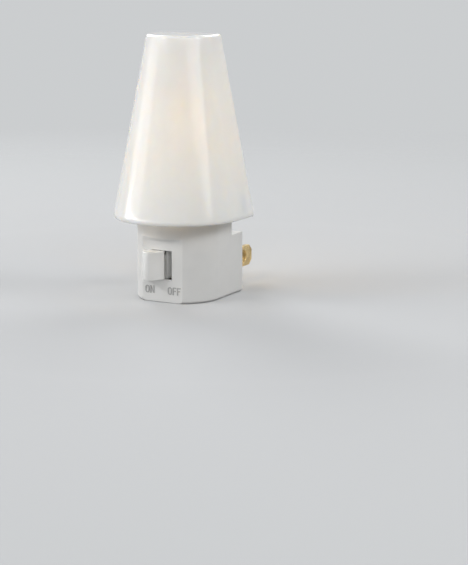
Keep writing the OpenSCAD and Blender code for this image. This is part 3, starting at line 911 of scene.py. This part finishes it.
# Softboxes: azimuth and elevation from the object, width and height in metres, brightness
SOFTBOXES = {
    "strip_left": (-63.5, 9, 0.40, 0.20, 1.4),
    "key_left": (-62, 30, 0.42, 0.16, 1.8),
    "left_low_key": (-45, 28, 0.25, 0.07, 11.5),
    "front_left": (-33, 25, 0.32, 0.10, 2.6),
    "left_45": (-30, 48, 0.32, 0.15, 1.6),
    "top_front": (8, 65, 0.45, 0.16, 0.5),
    "right_front": (35, 35, 0.30, 0.15, 2.8),
    "right_mid": (60, 29, 0.30, 0.06, 5.8),
    "right_side": (97, 31, 0.28, 0.18, 6.7),
    "low_left": (-60, 1.5, 0.35, 0.05, 6.9),
    "low_front": (-28, 2, 0.35, 0.06, 5.0),
    "low_right": (25, 2, 0.35, 0.06, 1.5),
    "back_left": (-125, 30, 0.30, 0.30, 5.0),
    "back": (172, 38, 0.45, 0.20, 3.8),
}
# Distance of the softboxes in metres, and the point that they face
SOFTBOX_DISTANCE = 0.6
SOFTBOX_AIM = (0, -16, 30)
# The wedge, a softbox that narrows downwards, is stacked from low ones: elevations of its foot and top,
# azimuths of its left edge at foot and top, azimuth of its upright right edge, brightness, and rows
WEDGE_LOW, WEDGE_HIGH = 7, 24
WEDGE_LEFT_LOW, WEDGE_LEFT_HIGH, WEDGE_RIGHT = 84, 42, 89.5
WEDGE_LEVEL, WEDGE_ROWS = 1.9, 8
# Light of the lamp: power in watts, colour, radius and height
GLOW_POWER, GLOW_COLOUR = 0.0132, (1.0, 0.58, 0.06)
GLOW_RADIUS, GLOW_Z = 4, 44


def direction(azimuth, elevation):
    """Unit vector from the object to where it is seen from."""
    a, e = math.radians(azimuth), math.radians(elevation)
    return Vector((math.sin(a) * math.cos(e), -math.cos(a) * math.cos(e), math.sin(e)))


def background_seen(tree):
    """1 for camera, glossy and transmission rays, which show the pale background, otherwise 0."""
    path = tree.nodes.new("ShaderNodeLightPath")
    seen = path.outputs["Is Camera Ray"]
    for kind in ("Is Glossy Ray", "Is Transmission Ray"):
        either = tree.nodes.new("ShaderNodeMath")
        either.operation = "MAXIMUM"
        tree.links.new(seen, either.inputs[0])
        tree.links.new(path.outputs[kind], either.inputs[1])
        seen = either.outputs[0]
    return seen


def build_floor():
    """Pale floor that fades into the plain backdrop away from the object."""
    mesh = bpy.data.meshes.new("floor")
    corners = [(x * FLOOR_REACH, y * FLOOR_REACH, 0) for x, y in ((-1, -1), (1, -1), (1, 1), (-1, 1))]
    mesh.from_pydata(corners, [], [(0, 1, 2, 3)])
    floor = add_object("floor", mesh)
    floor.location.z = FLOOR_Z - FLOOR_GAP * MM
    paint = Paint("floor", FLOOR_COLOUR, 0.9, {"Specular IOR Level": 0.1})
    paint.drive("Base Color", paint.mix(background_seen(paint.tree), FLOOR_BOUNCE, FLOOR_COLOUR))
    distance = paint.node("ShaderNodeVectorMath", operation="LENGTH")
    paint.link(paint.place, distance.inputs[0])
    paint.drive("Alpha", paint.spread(distance.outputs["Value"], 1, 0, *FLOOR_FADE))
    mesh.materials.append(paint.material)


def build_world():
    """Even soft light from all round, behind a plain pale backdrop."""
    world = bpy.data.worlds.new("studio")
    bpy.context.scene.world = world
    world.use_nodes = True
    tree = world.node_tree
    light = tree.nodes["Background"]
    light.inputs["Color"].default_value = (*AMBIENT, 1)
    light.inputs["Strength"].default_value = AMBIENT_LEVEL
    backdrop = tree.nodes.new("ShaderNodeBackground")
    backdrop.inputs["Color"].default_value = (*BACKDROP, 1)
    both = tree.nodes.new("ShaderNodeMixShader")
    tree.links.new(background_seen(tree), both.inputs[0])
    tree.links.new(light.outputs[0], both.inputs[1])
    tree.links.new(backdrop.outputs[0], both.inputs[2])
    tree.links.new(both.outputs[0], tree.nodes["World Output"].inputs["Surface"])


def softbox(name, azimuth, elevation, wide, high, radiance):
    """Rectangular light that faces the object, width and height in metres."""
    light = bpy.data.lights.new(name, "AREA")
    light.shape = "RECTANGLE"
    light.size, light.size_y = wide, high
    light.energy = radiance * math.pi * wide * high
    lamp = add_object(name, light)
    away = direction(azimuth, elevation)
    lamp.location = Vector(SOFTBOX_AIM) * MM + away * SOFTBOX_DISTANCE
    lamp.rotation_mode = "QUATERNION"
    lamp.rotation_quaternion = away.to_track_quat("Z", "Y")
    lamp.visible_camera = False


def build_wedge():
    row_angle = (WEDGE_HIGH - WEDGE_LOW) / WEDGE_ROWS
    high = SOFTBOX_DISTANCE * math.radians(row_angle)
    for k in range(WEDGE_ROWS):
        left = WEDGE_LEFT_LOW + (WEDGE_LEFT_HIGH - WEDGE_LEFT_LOW) * (k + 0.5) / WEDGE_ROWS
        wide = 2 * SOFTBOX_DISTANCE * math.tan(math.radians(WEDGE_RIGHT - left) / 2)
        elevation = WEDGE_LOW + row_angle * (k + 0.5)
        softbox(f"wedge_{k + 1}", (left + WEDGE_RIGHT) / 2, elevation, wide, high, WEDGE_LEVEL)


def build_glow():
    """Warm light of the lamp, which isn't seen itself, since the filament is."""
    light = bpy.data.lights.new("lamp_glow", "POINT")
    light.energy = GLOW_POWER
    light.color = GLOW_COLOUR
    light.shadow_soft_size = GLOW_RADIUS * MM
    glow = add_object("lamp_glow", light)
    glow.visible_camera = glow.visible_transmission = glow.visible_glossy = False
    glow.location = LAMP_AXIS + Vector((0, 0, GLOW_Z)) * MM


def build_lights():
    for name, settings in SOFTBOXES.items():
        softbox(name, *settings)
    build_wedge()
    build_glow()


# ---------------------------------------------------------------------------
# Camera: height of the picture and focal length in pixels, view angles, and place in metres

PHOTO_HIGH, FOCAL_PX = 565, 1920.99
CAMERA_AZIMUTH, CAMERA_ELEVATION, CAMERA_ROLL = 27.904, 11.401, 0.1197
CAMERA_PLACE = (0.28031, -0.51032, 0.11053)


def build_camera():
    """Camera at the view of the photograph, with its slight roll."""
    data = bpy.data.cameras.new("camera")
    data.lens = FOCAL_PX / PHOTO_HIGH * data.sensor_width
    data.clip_start, data.clip_end = 0.01, 50
    camera = add_object("camera", data)
    back = direction(CAMERA_AZIMUTH, CAMERA_ELEVATION)
    right = Vector((0, 0, 1)).cross(back).normalized()
    up = back.cross(right)
    roll = math.radians(CAMERA_ROLL)
    rolled_right = right * math.cos(roll) + up * math.sin(roll)
    rolled_up = up * math.cos(roll) - right * math.sin(roll)
    axes = Matrix((rolled_right, rolled_up, back)).transposed()
    camera.matrix_world = Matrix.Translation(CAMERA_PLACE) @ axes.to_4x4()
    bpy.context.scene.camera = camera


build_camera()
build_base()
build_labels()
build_back()
build_switch()
build_shade()
build_glass()
build_cap()
build_stem()
build_wires()
build_filament()
finish_cad_nodes()
build_floor()
build_world()
build_lights()
bpy.context.scene.view_settings.view_transform = "Standard"
